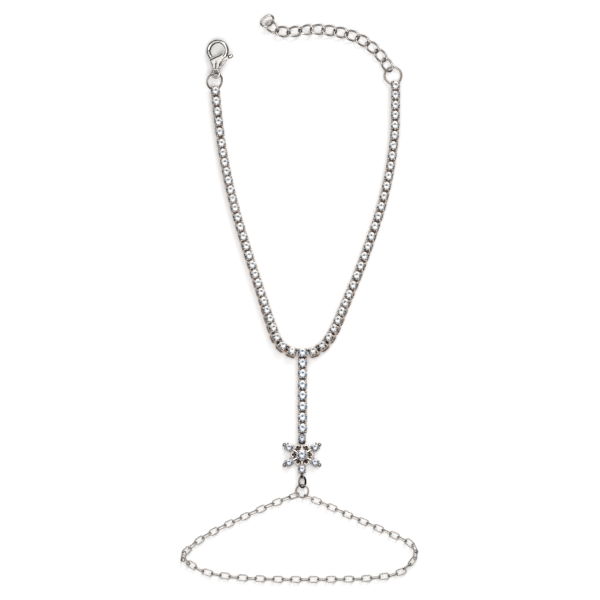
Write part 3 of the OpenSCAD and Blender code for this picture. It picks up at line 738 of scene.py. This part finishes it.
# The tilted ring under the snowflake is painted nearly black all over, a painted dark reflection of the room
# in its wire.
dark_reflection_plating = plating("dark_ring_plating", wear_and_shade=(0.012, 0.009, 0.007), bright=(0.30, 0.28, 0.26),
                       ground=3.5, depth=0.4)
ring_tree, start, given = new_tree("jump_ring", Outer_Diameter="Float", Wire="Float", Slit="Float",
                                   Seed="Int", Finish="Material")
arc = start.node("GeometryNodeCurveArc", {"mode": "RADIUS"}, {
    "Resolution": 72, "Radius": (given["Outer Diameter"] - given["Wire"]) * 0.5, "Start Angle": given["Slit"],
    "Sweep Angle": 2 * math.pi - given["Slit"]})
section = start.node("GeometryNodeCurvePrimitiveCircle", {"mode": "RADIUS"}, {
    "Resolution": 14, "Radius": given["Wire"] * 0.5})
tube = start.node("GeometryNodeCurveToMesh", {}, {
    "Curve": arc, "Profile Curve": section, "Fill Caps": True})
close_tree(start, given, on_seats(start, tube, given["Seats"]))
for node, outer, wire, slit_at in RINGS:
    middle, axes = plane_of(loose_parts(node)[0])
    up = axes[2] if axes[2].z > 0 else -axes[2]
    ahead = Vector((math.cos(math.radians(slit_at)), math.sin(math.radians(slit_at)), 0))
    grow(node + "_wire", [(middle, frame_on(up, ahead), (MM, MM, MM))], ring_tree, "bracelet", [node],
         "silver_metal", Outer_Diameter=outer, Wire=wire, Slit=0.025, Seed=31,
         Finish=dark_reflection_plating if node == "flake_ring" else ring_plating)

# The finger loop. Fine cable chain: oval links of plated wire, pressed a little square and soldered
# shut, each one through the next. Its ends hang in the ring under the snowflake.
# Cable plating: painted highlights where the links face up, painted shade low down, and a pale painted
# reflection of the table on their steep sides.
link_plating = plating("cable_plating", wear_and_shade=(0.042, 0.032, 0.026), bright=(0.345, 0.30, 0.267), ground=0.8,
                       wall=(0.46, 0.41, 0.37), steep=2.6)
link_tree, start, given = new_tree("cable_links", Length="Float", Width="Float", Wire="Float",
                                   Corner="Float", Seed="Int", Finish="Material")
outline = start.node("GeometryNodeCurvePrimitiveQuadrilateral", {"mode": "RECTANGLE"}, {
    "Width": given["Length"] - given["Wire"], "Height": given["Width"] - given["Wire"]})
outline = start.node("GeometryNodeFilletCurve", {"mode": "POLY"}, {
    "Curve": outline, "Radius": given["Corner"], "Count": 6})
section = start.node("GeometryNodeCurvePrimitiveCircle", {"mode": "RADIUS"}, {
    "Resolution": 8, "Radius": given["Wire"] * 0.5})
tube = start.node("GeometryNodeCurveToMesh", {}, {"Curve": outline, "Profile Curve": section})
close_tree(start, given, on_seats(start, tube, given["Seats"]))


def link_seat(corners):
    """A cable link's seat, its length along X."""
    middle, axes = plane_of(corners)
    return middle, frame_on(axes[2], axes[0]), (MM, MM, MM)


for side in ("left", "right"):
    seats = [link_seat(part) for part in loose_parts("finger_chain_" + side)]
    grow("finger_links_" + side, seats, link_tree, "bracelet", ["finger_chain_" + side], "silver_metal",
         Length=3.0, Width=1.8, Wire=0.26, Corner=0.72, Seed=41, Finish=link_plating)

# The extender. Curb chain of thirteen links of plated wire. Each link is twisted, so that it lies
# flat on the next, and the clasp can hook into any of them.
curb_tree, start, given = new_tree("curb_links", Length="Float", Width="Float", Wire="Float",
                                   Twist="Float", Seed="Int", Finish="Material")
loop = start.node("GeometryNodeCurvePrimitiveCircle", {"mode": "RADIUS"}, {"Resolution": 48, "Radius": 1.0})
angle = start.node("GeometryNodeSplineParameter", out="Factor") * (2 * math.pi)
bent = start.node("ShaderNodeCombineXYZ", {}, {
    "X": start.sum("COSINE", angle) * (given["Length"] - given["Wire"]) * 0.5,
    "Y": start.sum("SINE", angle) * (given["Width"] - given["Wire"]) * 0.5,
    "Z": start.sum("SINE", angle * 2.0) * given["Twist"]})
loop = start.node("GeometryNodeSetPosition", {}, {"Geometry": loop, "Position": bent})
section = start.node("GeometryNodeCurvePrimitiveCircle", {"mode": "RADIUS"}, {
    "Resolution": 12, "Radius": given["Wire"] * 0.5})
tube = start.node("GeometryNodeCurveToMesh", {}, {"Curve": loop, "Profile Curve": section})
close_tree(start, given, on_seats(start, tube, given["Seats"]))


def curb_seat(corners):
    """A curb link's seat. Its twist tells which way up the middle plane is."""
    middle, axes = plane_of(corners)
    x, up = axes[0], axes[2]
    y = up.cross(x)
    spots = [Vector(c) - middle for c in corners]
    handed = sum(s.dot(x) * s.dot(y) * s.dot(up) for s in spots)
    return middle, frame_on(up if handed > 0 else -up, x), (MM, MM, MM)


extender_nodes = sorted(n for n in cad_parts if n.startswith("extender_link_"))
# Curb plating: painted highlights where the links face up, painted shade on their sloping edges and low down,
# and a pale painted reflection of the table on their steep sides.
curb_plating = plating("curb_plating", wear_and_shade=(0.026, 0.018, 0.013), bright=(0.58, 0.52, 0.475), ground=0.9,
                       wall=(0.46, 0.42, 0.38), highlight_falloff=2.9, steep=2.6)
grow("extender_links", [curb_seat(loose_parts(n)[0]) for n in extender_nodes], curb_tree, "bracelet",
     extender_nodes, "silver_metal", Length=4.3, Width=3.0, Wire=0.46, Twist=0.45, Seed=51,
     Finish=curb_plating)

# The lobster clasp. Cast zinc alloy with silver-coloured plating: a hook with an eye, and a lever
# on a steel pin between its cheeks, whose gate closes the hook.
# The clasp's own plane starts at its eye, with Y towards the hook, all in millimetres.
CLASP_EYE = (-23.27, 102.82, 1.66)
CLASP_TILT, CLASP_ROLL = math.radians(-1.5), math.radians(-16)
clasp_plane = (Matrix.Translation(CLASP_EYE) @ Matrix.Rotation(CLASP_TILT, 4, "X")
               @ Matrix.Rotation(CLASP_ROLL, 4, "Y"))
OPENING_MIDDLE, OPENING_R = (0.53, 6.25), 2.03
OPENING_RIGHT = (-40, 80)
# The opening's foot runs along the cheek's edge
CHEEK_EDGE = [(-1.6, 3.82), (-0.1, 4.6), (1.1, 5.08), (2.0, 5.62), (2.6, 6.3)]
NECK_MIDDLE, NECK_FROM, NECK_TO, NECK_NARROWER = 0.26, 1.15, 2.9, 1.4
BEVEL_WIDTH, BEVEL_SLOPE, BEVEL_FOOT = 0.4, 1.4, 0.4
# Past every bevel
FAR_OFF = 9


def around_the_opening(corners):
    """A bevel on the front of the cheek and the hook, along the foot and the right of the opening,
    and a groove down the front of the neck."""
    turn, eye = np.array(clasp_plane.to_3x3()), np.array(clasp_plane.translation)
    flat = (corners - eye) @ turn
    x, y, top = flat[:, 0], flat[:, 1], flat[:, 2]
    from_middle = np.hypot(x - OPENING_MIDDLE[0], y - OPENING_MIDDLE[1])
    angle = np.degrees(np.arctan2(y - OPENING_MIDDLE[1], x - OPENING_MIDDLE[0]))
    on_the_right = (angle > OPENING_RIGHT[0]) & (angle < OPENING_RIGHT[1])
    near = np.where(on_the_right, np.abs(from_middle - OPENING_R), FAR_OFF)
    for a, b in zip(np.array(CHEEK_EDGE), np.array(CHEEK_EDGE[1:])):
        share = ((flat[:, :2] - a) @ (b - a) / ((b - a) @ (b - a))).clip(0, 1)
        near = np.minimum(near, np.linalg.norm(flat[:, :2] - a - share[:, None] * (b - a), axis=1))
    neck = (y > NECK_FROM) & (y < NECK_TO)
    near = np.where(neck, np.minimum(near, np.abs(x - NECK_MIDDLE) * NECK_NARROWER), near)
    bevelled = np.maximum(top - (BEVEL_WIDTH - near).clip(0) * BEVEL_SLOPE, np.minimum(top, BEVEL_FOOT))
    return np.column_stack((flat[:, :2], bevelled)) @ turn.T + eye


# Clasp plating: its bevels and sloping edges turn almost black as painted shade, up-facing faces carry
# painted highlights, steep sides a painted reflection of the table, and random specks add painted glints.
clasp_plating = plating("clasp_plating", wear_and_shade=(0.014, 0.010, 0.008), bright=(0.72, 0.69, 0.66), ground=2.5,
                        wall=(0.42, 0.39, 0.36), highlight_falloff=3.2, glint_specks=0.3, steep=2.6)
casting("clasp_body_casting", "clasp_body", "bracelet", grain=0.06, rounds=6,
        material=clasp_plating, carve=around_the_opening)
casting("clasp_lever_casting", "clasp_lever", "lever", grain=0.05, rounds=3,
        material=clasp_plating)
pin_steel, start = blank_finish("pin_steel")
close_finish(start, Base_Color=(0.6, 0.58, 0.56, 1), Metallic=1.0, Roughness=0.25)
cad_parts["clasp_pin"].data.materials.clear()
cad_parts["clasp_pin"].data.materials.append(pin_steel)
